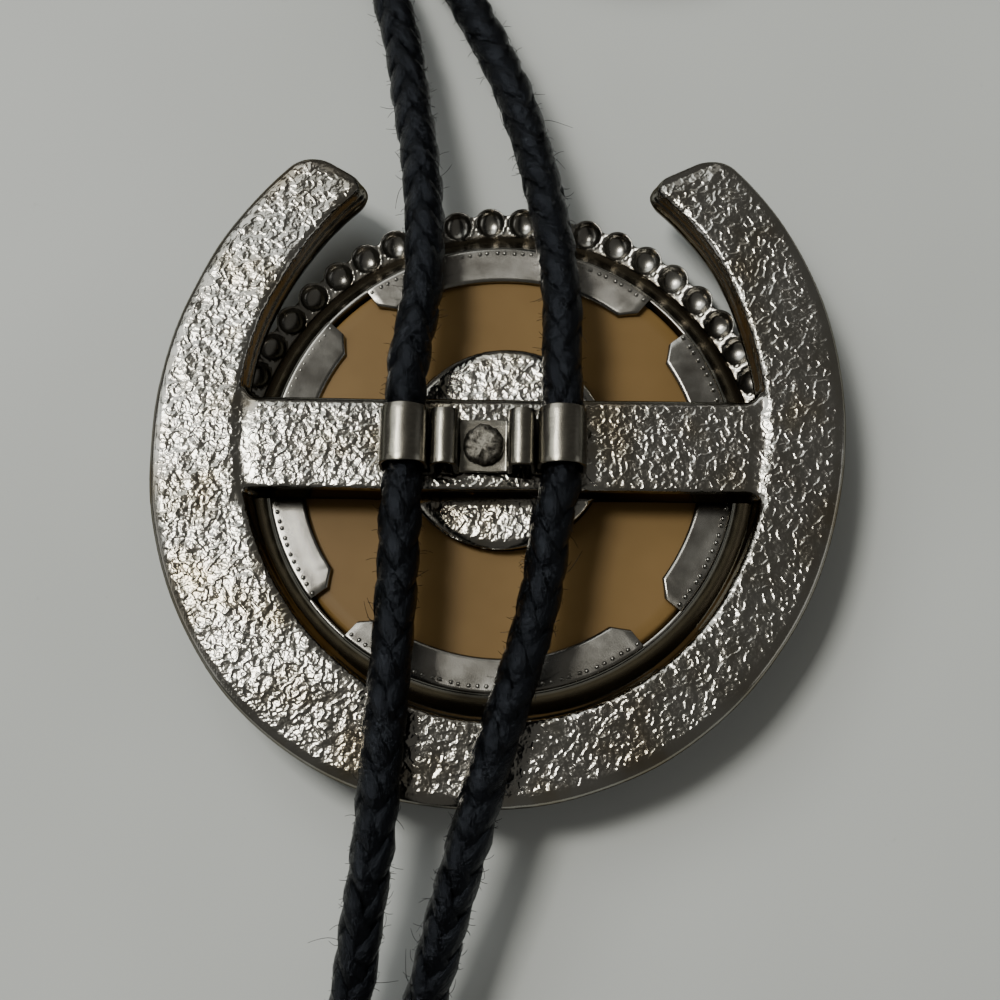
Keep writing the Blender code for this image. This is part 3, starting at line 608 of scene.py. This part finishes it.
def tab_solid(number):
    """One tab, bent over from the wall, with cut inner corners and a soft bend."""
    start, sweep = tab_span(number)
    corner = TAB_CORNER / TAB_IN / sweep
    shares = [0.0, corner * 0.5, corner] + [i / 60 for i in range(4, 57)] + [1 - corner, 1 - corner * 0.5, 1.0]
    rings = []
    for share in shares:
        near_end = min(share, 1 - share)
        cut = TAB_CORNER * max(0.0, 1 - near_end / corner)
        sag = 0.05 * math.sin(9 * share + number)
        inner, angle = TAB_IN + cut + 0.8 * sag, start + share * sweep
        tilt = TAB_TILTS[number] * (1 - fade(share, 0.35, 0.6) if number == 1 else 1)
        profile = [(inner, TAB_Z), (WALL_IN + 0.1, TAB_Z)]
        profile += [(WALL_IN + 0.1, TAB_Z - 0.3), (WALL_OUT + 0.03, TAB_Z - 0.3)]
        for turn in range(0, 91, 15):
            t = math.radians(turn)
            profile.append((WALL_OUT - 0.45 + 0.48 * math.cos(t), TAB_Z - 0.05 + 0.45 * math.sin(t)))
        profile += [(20.6, TAB_Z + 0.37), (19.7 + cut / 2, TAB_Z + 0.36 + 0.3 * sag)]
        for turn in range(90, -1, -18):
            t = math.radians(turn)
            profile.append((inner + 0.42 * (1 - math.cos(t)), TAB_Z + 0.04 + 0.32 * math.sin(t)))
        rings.append([
            [r * math.cos(angle), BEZEL_Y + r * math.sin(angle), z + tilt * (min(r, 21.3) - 19.6)]
            for r, z in profile
        ])
    return ring_solid(rings)


def tab_dots(material):
    """The row of small raised dots along each tab's bend."""
    b = bmesh.new()
    for number in range(4):
        start, sweep = tab_span(number)
        for i in range(DOTS_PER_TAB):
            angle = start + sweep * (i + 0.5 + 0.12 * math.sin(9 * i)) / DOTS_PER_TAB
            radius = 20.95 + 0.04 * math.sin(5 * i)
            spot = Vector((radius * math.cos(angle), BEZEL_Y + radius * math.sin(angle), TAB_Z + 0.36))
            size = Matrix.Diagonal((0.24, 0.24, 0.22, 1.0))
            bmesh.ops.create_icosphere(b, subdivisions=2, radius=1.0, matrix=Matrix.Translation(spot) @ size)
    bmesh.ops.scale(b, vec=(MM, MM, MM), verts=b.verts)
    mesh = bpy.data.meshes.new("dots")
    b.to_mesh(mesh)
    b.free()
    mesh.shade_smooth()
    mesh.materials.append(material)
    made = bpy.data.objects.new("dots", mesh)
    bpy.context.collection.objects.link(made)
    return made


def joined(name, pieces):
    """Several objects as one mesh object."""
    b = bmesh.new()
    for piece in pieces:
        b.from_mesh(piece.data)
    mesh = bpy.data.meshes.new(name)
    b.to_mesh(mesh)
    b.free()
    mesh.materials.append(pieces[0].data.materials[0])
    for piece in pieces:
        bpy.data.objects.remove(piece, do_unlink=True)
    made = bpy.data.objects.new(name, mesh)
    bpy.context.collection.objects.link(made)
    return made


def make_bezel(material):
    """Border, wall, tabs and dots as one stamped sheet, with its groove marked for painted shade."""
    tabs = [bevelled(outward(mesh_object(f"tab_{i}", *tab_solid(i), material)), 0.09) for i in range(4)]
    border = outward(mesh_object("border", *border_solid(), material))
    wall = outward(mesh_object("wall", *wall_solid(), material))
    made = flat_faced(joined("bezel_sheet", [border, wall, tab_dots(material)] + tabs))
    mesh = made.data
    co = np.empty(len(mesh.vertices) * 3)
    mesh.vertices.foreach_get("co", co)
    co = co.reshape(-1, 3) / MM
    radius = np.hypot(co[:, 0], co[:, 1] - BEZEL_Y)
    # Painted shade: a mask over the groove between the wall and the beads, below the tabs
    dark = fade(radius, WALL_OUT - 0.02, WALL_OUT + 0.1) * (1 - fade(radius, 23.6, 24.1))
    dark *= 1 - fade(co[:, 2], 3.55, 3.8)
    layer = mesh.attributes.new("groove", "FLOAT", "POINT")
    layer.data.foreach_set("value", (0.93 * dark).astype(np.float32))
    place_piece(made, "nickel_plated_sheet", "bezel")


def make_insert(material):
    profile = [(0.5, 0.0), (18.0, 0.0), (18.25, 0.05), (18.4, 0.25), (18.4, 1.15), (20.95, 1.15)]
    profile += [(20.95, 3.0), (20.85, 3.28), (20.6, 3.4), (19.5, 3.4), (10.0, 3.42), (0.5, 3.43)]
    made = outward(mesh_object("resin_disc", *disc_solid(0, BEZEL_Y, profile, 160), material))
    made.data.set_sharp_from_angle(angle=math.radians(50))
    place_piece(made, "tan_resin", "insert_disc")


# Clip and rivet
def squared(value, power):
    """A cosine or sine whose circle squares up where power is below 1."""
    return math.copysign(abs(value) ** power, value)


def arc(middle_x, middle_z, radius, start, end, steps, power=1.0):
    """Points round a middle from one angle to another, as (x, height)."""
    turns = [math.radians(start + (end - start) * i / steps) for i in range(steps + 1)]
    return [
        (middle_x + radius * squared(math.cos(t), power), middle_z + radius * squared(math.sin(t), power))
        for t in turns
    ]


def clip_line():
    """The strip's middle line, from one loop's end to the other's, in (x, height)."""
    half, bend = STRIP / 2, 0.5
    hump_in, hump_out = HUMP_IN + half, HUMP_OUT - half
    hump_r = (hump_out - hump_in) / 2
    loop_in = HUMP_OUT + LOOP_GAP + half
    loop_out = loop_in + LOOP_ACROSS
    loop_r = (loop_out - loop_in) / 2
    right = [(0.6, half), (1.2, half)]
    right += arc(hump_in - bend, half + bend, bend, -90, 0, 6)
    right += arc((hump_in + hump_out) / 2, HUMP_TOP - half - hump_r, hump_r, 180, 0, 16, 0.86)
    right += arc(hump_out + bend, half + bend, bend, 180, 270, 6)
    right += arc(loop_out - 2 * bend, half + 2 * bend, 2 * bend, -90, 0, 8)
    right += arc((loop_in + loop_out) / 2, LOOP_TOP - half - loop_r, loop_r, 0, 180, 28, 0.9)
    right.append((loop_in, 1.7))
    return [(-x, z) for x, z in reversed(right)] + right


def make_clip(material):
    """The strip swept along its line, a little wider at the loops and slightly wavy."""
    line = np.array(clip_line())
    runs = np.diff(line, axis=0)
    runs /= np.linalg.norm(runs, axis=1)[:, None]
    first = np.vstack([runs[:1], runs])
    second = np.vstack([runs, runs[-1:]])
    side = np.stack([-(first + second)[:, 1], (first + second)[:, 0]], -1)
    side /= np.linalg.norm(side, axis=1)[:, None]
    along = np.stack([-first[:, 1], first[:, 0]], -1)
    side /= np.clip((side * along).sum(1), 0.5, 1)[:, None]
    rings = []
    for i, (spot, push) in enumerate(zip(line, side)):
        x = spot[0]
        flare = 0.10 * math.exp(-((abs(x) - LOOP_X) / 1.6) ** 2) + 0.03 * math.sin(2.3 * x)
        half = CLIP_WIDTH / 2 + flare - (0.16 if abs(x) < 2.1 else 0.0)
        ring = []
        for way, ys in ((1, np.linspace(-half, half, 9)), (-1, np.linspace(half, -half, 9))):
            for y in ys:
                wave = 0.02 * math.sin(1.7 * y + i)
                x, z = spot + push * (way * STRIP / 2 + wave * 0.3)
                ring.append([CLIP_X + x, BAR_Y + y, CLIP_BASE + z])
        rings.append(ring)
    made = outward(mesh_object("bent_clip", *ring_solid(rings), material))
    bevelled(made, 0.10, 3)
    place_piece(made, "satin_steel_strip", "clip")


def make_rivet(material):
    """The rivet's shank and its low dented head."""
    seat = CLIP_BASE + STRIP + 0.02
    head = [(1.65, 0.0), (1.80, 0.08), (1.86, 0.3), (1.80, 0.55), (1.62, 0.74)]
    head += [(1.3, 0.84), (1.0, 0.88), (0.7, 0.9), (0.35, 0.9)]
    profile = [(0.9, 6.75), (0.9, seat)] + [(r, seat + rise) for r, rise in head]
    points, faces = disc_solid(CLIP_X, BAR_Y, profile, 72)
    for i, p in enumerate(points):
        if p[2] > seat + 0.05:
            v = Vector(p)
            dent = 0.16 * noise.noise(v * 1.4) + 0.06 * noise.noise(v * 4.0)
            out = np.array([p[0] - CLIP_X, p[1] - BAR_Y, 0.0])
            points[i] += out * dent * 0.5 + np.array([0, 0, dent])
    made = outward(mesh_object("rivet_head", points, faces, material))
    place_piece(made, "rough_rivet_steel", "rivet")


# Cord
def between(a, b, low, high, t):
    return a * ((high - t) / (high - low)) + b * ((t - low) / (high - low))


def smooth_through(points, steps):
    """A centripetal curve through the points, never lower than a cord that lies on the floor."""
    points = [np.array(p, dtype=float) for p in points]
    row = [2 * points[0] - points[1]] + points + [2 * points[-1] - points[-2]]
    curve = []
    for a, b, c, d in zip(row, row[1:], row[2:], row[3:]):
        k1 = math.sqrt(np.linalg.norm(b - a) * MM)
        k2 = k1 + math.sqrt(np.linalg.norm(c - b) * MM)
        k3 = k2 + math.sqrt(np.linalg.norm(d - c) * MM)
        for step in range(steps):
            t = k1 + (k2 - k1) * step / steps
            ab, bc, cd = between(a, b, 0, k1, t), between(b, c, k1, k2, t), between(c, d, k2, k3, t)
            spot = between(between(ab, bc, 0, k2, t), between(bc, cd, k1, k3, t), k1, k2, t)
            curve.append(np.array([spot[0], spot[1], max(spot[2], CORD_R)]))
    curve.append(points[-1])
    return curve


def clip_leads(side, way):
    """Points from inside the clip to just outside its mouth."""
    x, mouth = CLIP_X + side * LOOP_X, CLIP_WIDTH / 2 + 0.3
    return [np.array([x, BAR_Y + way * away, CORD_CLIP_Z]) for away in (0.15, mouth, mouth + 0.9)]


def in_view(spot):
    return -52 < spot[1] < 56


def resampled(curve):
    """Places along a curve with a fine spacing in view and a coarse one elsewhere."""
    coarse = FAR_STEP
    curve = np.asarray(curve)
    runs = np.concatenate([[0], np.cumsum(np.linalg.norm(np.diff(curve, axis=0), axis=1))])
    at, goals = 0.0, []
    while at < runs[-1]:
        goals.append(at)
        spot = [np.interp(at, runs, curve[:, k]) for k in range(3)]
        at += CORD_STEP if in_view(spot) else coarse
    goals.append(runs[-1])
    goals = np.array(goals)
    return goals, np.stack([np.interp(goals, runs, curve[:, k]) for k in range(3)], -1)


def cord_frames(places):
    """Tangents and two cross axes that don't twist along the line."""
    tangent = np.gradient(places, axis=0)
    tangent /= np.linalg.norm(tangent, axis=1)[:, None]
    first = np.cross(tangent[0], [0, 0, 1.0])
    axes = [first / np.linalg.norm(first)]
    for t in tangent[1:]:
        a = axes[-1] - t * (axes[-1] @ t)
        axes.append(a / np.linalg.norm(a))
    a = np.array(axes)
    return tangent, a, np.cross(tangent, a)


def wobble(s, seed, rate):
    """A smooth random number for each place along a strand."""
    return np.array([noise.noise(Vector((v * rate, seed * 7.31, 0.5))) for v in s])


def strand_points(s, frames, places, scale, number, way, seed):
    """One strand of an eight-strand braid, two over and two under: rings of ten points."""
    pitch, sides, slope_radius = 14.2, 10, 1.5
    tangent, a, b = frames
    k = 8 * s / pitch
    over = np.cos(math.pi / 2 * ((k + 2 * number) % 4 - 0.5)) if way > 0 else \
        -np.cos(math.pi / 2 * ((2 * number - k) % 4 - 0.5))
    turn = way * 2 * math.pi * s / pitch + math.pi / 2 * number + 0.13 * wobble(s, seed, 0.5)
    out = a * np.cos(turn)[:, None] + b * np.sin(turn)[:, None]
    round_ = -a * np.sin(turn)[:, None] + b * np.cos(turn)[:, None]
    # The strand's middle rises over its neighbours and dips under them
    radius = (1.34 + 0.17 * over + 0.10 * wobble(s, seed + 40, 0.8)) * scale
    lean = math.atan(2 * math.pi * slope_radius / pitch)
    wide = round_ * math.cos(lean) - way * tangent * math.sin(lean)
    middle = places + out * radius[:, None]
    # Half the strand's width and thickness, each a little uneven
    width = (1.02 + 0.26 * wobble(s, seed + 80, 0.7)) * scale
    thick = (0.44 + 0.12 * wobble(s, seed + 120, 0.9)) * scale
    rings = np.empty((len(s), sides, 3))
    for j in range(sides):
        t = 2 * math.pi * j / sides
        c, z = math.cos(t), math.sin(t)
        c = math.copysign(abs(c) ** 0.85, c)
        rings[:, j] = middle + wide * (width * c)[:, None] + out * (thick * z - 0.10 * width * c * c)[:, None]
    uv = np.stack(np.meshgrid(s, np.arange(sides) / sides, indexing="ij"), -1)[..., ::-1]
    uv = uv + np.array([number + 4.0 * (way > 0), seed * 3.7])
    return rings, uv


def core_points(frames, places, scale):
    """A plain core that closes the braid's inside."""
    tangent, a, b = frames
    turn = np.linspace(0, 2 * math.pi, 6, endpoint=False)
    out = a[:, None] * np.cos(turn)[None, :, None] + b[:, None] * np.sin(turn)[None, :, None]
    rings = places[:, None] + out * (1.15 * scale)[:, None, None]
    return rings, np.zeros((len(places), 6, 2))


def hair_points(places, frames):
    """Loose fibres that stand off the braid: short hooks, and a few long loops."""
    tangent, a, b = frames
    parts = []
    steps, sides = 6, 3
    run = np.concatenate([[0], np.cumsum(np.linalg.norm(np.diff(places, axis=0), axis=1))])
    for at in np.sort(RNG.uniform(1.0, run[-1] - 1.0, int(FIBRES_PER_MM * run[-1]))):
        i = int(np.searchsorted(run, at)) - 1
        in_clip = abs(places[i][1] - BAR_Y) < 3.2
        if in_clip or (not in_view(places[i]) and RNG.random() < FAR_FIBRES_SKIPPED):
            continue
        turn = RNG.uniform(0, 2 * math.pi)
        out = a[i] * math.cos(turn) + b[i] * math.sin(turn)
        if places[i][2] < 4 and out[2] < -0.2:
            continue
        round_ = -a[i] * math.sin(turn) + b[i] * math.cos(turn)
        length = RNG.gamma(2.0, 0.24) + 0.25
        if RNG.random() < 0.03:
            length = RNG.uniform(1.6, 3.2)
        way = out + tangent[i] * RNG.normal(0, 0.9) + round_ * RNG.normal(0, 0.7)
        way /= np.linalg.norm(way)
        curl = np.cross(way, RNG.normal(size=3))
        curl *= RNG.uniform(1.0, 4.5) / max(np.linalg.norm(curl), 1e-6)
        spot = places[i] + out * 1.75
        line = [spot]
        for _ in range(steps):
            way = way + curl * (length / steps) * 0.9
            way /= np.linalg.norm(way)
            spot = spot + way * (length / steps)
            spot[2] = max(spot[2], 0.05)
            line.append(spot)
        line = np.array(line)
        x = np.cross(way, [0.3, 0.5, 0.8])
        x /= np.linalg.norm(x)
        y = np.cross(way, x)
        thick = np.linspace(0.036, 0.020, steps + 1)[:, None, None]
        round_turn = np.linspace(0, 2 * math.pi, sides, endpoint=False)
        ring = x * np.cos(round_turn)[:, None] + y * np.sin(round_turn)[:, None]
        parts.append(line[:, None] + ring[None] * thick)
    return parts


def make_cord(name, curve, cad_node, material):
    """A waxed braid with its loose fibres along one route."""
    s, places = resampled(curve)
    frames = cord_frames(places)
    scale = np.ones(len(s))
    mouth = CLIP_WIDTH / 2
    off = np.abs(places[:, 1] - BAR_Y)
    near = (off < mouth + 1.6) & (places[:, 2] > 9)
    scale[near] = PINCH + (1 - PINCH) * fade(off[near], mouth + 0.1, mouth + 1.3)
    all_points, all_faces, all_uv, count = [], [], [], 0
    strands = []
    for number in range(4):
        for way in (1, -1):
            strands.append(strand_points(s, frames, places, scale, number, way, number * 2 + (way > 0)))
    strands.append(core_points(frames, places, scale))
    for rings, uv in strands:
        rings[..., 2] = np.maximum(rings[..., 2], 0.02)
        p, f = ring_solid(rings)
        all_points.append(p)
        all_uv.append(uv.reshape(-1, 2))
        all_faces += [[v + count for v in face] for face in f]
        count += len(p)
    for rings in hair_points(places, frames):
        p, f = ring_solid(rings)
        all_points.append(p)
        all_uv.append(np.zeros((len(p), 2)))
        all_faces += [[v + count for v in face] for face in f]
        count += len(p)
    made = mesh_object(name, np.concatenate(all_points), all_faces, material, np.concatenate(all_uv))
    place_piece(made, "black_waxed_braid", cad_node)


def lifted(points):
    """A route's points, given at the cord's lowest line, as points of its middle line."""
    return [np.array([x, y, CORD_R + rise]) for x, y, rise in points]


def make_neck_loop(material):
    leaving, back = clip_leads(-1, 1), clip_leads(1, 1)[::-1]
    route = [leaving[-1]] + lifted(NECK_LOOP_POINTS) + [back[0]]
    curve = leaving[:2] + smooth_through(route, 16) + back[1:]
    make_cord("neck_loop_braid", curve, "cord_neck_loop", material)


def make_free_end(name, side, points, lean, cord_material, tip_material):
    """A free end of the cord, and its tip that slopes down to the table."""
    leads = clip_leads(side, -1)
    route = [leads[-1]] + lifted(points)
    curve = leads[:2] + smooth_through(route, 16)
    collar = curve[-1]
    drop = collar[2] - 1.6
    level = np.array([lean, -1.0]) / math.hypot(lean, 1) * math.sqrt(TIP_LENGTH ** 2 - drop ** 2)
    aim = np.array([level[0], level[1], -drop]) / TIP_LENGTH
    curve.append(collar + aim * TIP_GRIP)
    turn = Vector((0, 0, 1)).rotation_difference(Vector(aim))
    profile = [(2.3, 7.9), (2.3, 0.25), (2.38, 0.06), (2.5, 0.0), (2.64, 0.08), (2.7, 0.25), (2.7, 1.0)]
    profile += [(2.58, 1.15), (2.58, 1.35), (2.7, 1.5), (2.7, 2.6), (2.66, 2.9), (2.58, 3.3), (2.58, 8.5)]
    profile += [(2.58 - 0.98 * i / 12, 8.5 + 40.0 * i / 12) for i in range(1, 13)]
    profile += [(1.5, 49.0), (1.3, 49.5), (0.9, 49.85), (0.3, 49.98)]
    rings = []
    for r, along in profile:
        rings.append([])
        for j in range(40):
            t = 2 * math.pi * j / 40
            spot = turn @ Vector((r * math.cos(t), r * math.sin(t), along))
            rings[-1].append(collar + np.array(spot))
    tip = outward(mesh_object(f"tip_{name}_metal", *ring_solid(rings), tip_material))
    place_piece(tip, "bright_plated_tip", f"tip_{name}")
    make_cord(f"end_{name}_braid", curve, f"cord_end_{name}", cord_material)


# Stage
def make_floor():
    half = 900
    corner_points = [(-half, -half, 0), (half, -half, 0), (half, half, 0), (-half, half, 0)]
    made = mesh_object("table_top", corner_points, [[0, 1, 2, 3]], pale_floor())
    made.location.z = -0.00002


def area_light(name, azimuth, elevation, distance, size, radiance, colour):
    """A soft rectangular light that faces the object, in degrees and metres."""
    data = bpy.data.lights.new(name, "AREA")
    data.shape = "RECTANGLE"
    data.size, data.size_y = size
    data.energy = radiance * math.pi * size[0] * size[1]
    data.color = linear(colour)[:3]
    made = bpy.data.objects.new(name, data)
    bpy.context.collection.objects.link(made)
    a, e = math.radians(azimuth), math.radians(elevation)
    way = Vector((math.sin(a) * math.cos(e), math.cos(a) * math.cos(e), math.sin(e)))
    made.location = way * distance
    made.rotation_euler = way.to_track_quat("Z", "Y").to_euler()


def make_lights():
    """One bright ceiling lamp to the left, a soft window and dim walls."""
    world = bpy.data.worlds.new("room")
    bpy.context.scene.world = world
    world.use_nodes = True
    background = world.node_tree.nodes["Background"]
    background.inputs["Color"].default_value = linear("C0BEB8")
    background.inputs["Strength"].default_value = 0.27
    area_light("ceiling_lamp", -60, 66.5, 1.0, (0.25, 0.24), 34.5, "FFFDF6")
    area_light("window", -42, 48, 1.0, (0.80, 0.50), 2.7, "F4F8F8")
    area_light("wall_left", -95, 30, 1.2, (0.8, 0.4), 0.8, "F1F3F4")
    area_light("wall_back", -5, 38, 1.2, (0.9, 0.35), 0.6, "F4F3EE")
    area_light("wall_right", 95, 22, 1.2, (0.8, 0.5), 0.9, "F1F3F4")


def make_camera():
    """The photograph's camera: 73 degrees above the floor, nearly over the part."""
    azimuth, elevation, roll = math.radians(6.0), math.radians(73.0), math.radians(-5.1)
    aim = Vector((0.000104, -0.003348, 0.0083))
    back = Vector((
        math.sin(azimuth) * math.cos(elevation), -math.cos(azimuth) * math.cos(elevation), math.sin(elevation),
    ))
    level = Vector((math.cos(azimuth), math.sin(azimuth), 0.0))
    upright = back.cross(level)
    right = level * math.cos(roll) + upright * math.sin(roll)
    up = upright * math.cos(roll) - level * math.sin(roll)
    data = bpy.data.cameras.new("photo_camera")
    data.lens, data.sensor_width = 72.58, 36.0
    data.clip_start = 0.005
    made = bpy.data.objects.new("photo_camera", data)
    bpy.context.collection.objects.link(made)
    turn = Matrix((right, up, back)).transposed()
    made.matrix_world = Matrix.Translation(aim + back * 0.18) @ turn.to_4x4()
    bpy.context.scene.camera = made


def corners(box):
    return [[float(v) for v in corner] for corner in box]


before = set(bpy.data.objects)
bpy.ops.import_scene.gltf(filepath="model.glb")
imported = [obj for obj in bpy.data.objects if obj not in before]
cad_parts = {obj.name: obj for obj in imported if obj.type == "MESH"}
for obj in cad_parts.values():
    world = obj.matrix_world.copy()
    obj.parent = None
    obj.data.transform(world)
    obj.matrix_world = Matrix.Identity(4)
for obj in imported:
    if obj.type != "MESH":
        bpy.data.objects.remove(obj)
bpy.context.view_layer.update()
make_camera()
braid = waxed_braid()
tip_metal = bright_tip()
make_neck_loop(braid)
make_free_end("left", -1, LEFT_END_POINTS, -0.16, braid, tip_metal)
make_free_end("right", 1, RIGHT_END_POINTS, -0.06, braid, tip_metal)
make_casting(cast_silver())
make_bezel(nickel_sheet())
make_insert(tan_resin())
make_clip(satin_strip())
make_rivet(rivet_steel())
make_floor()
make_lights()
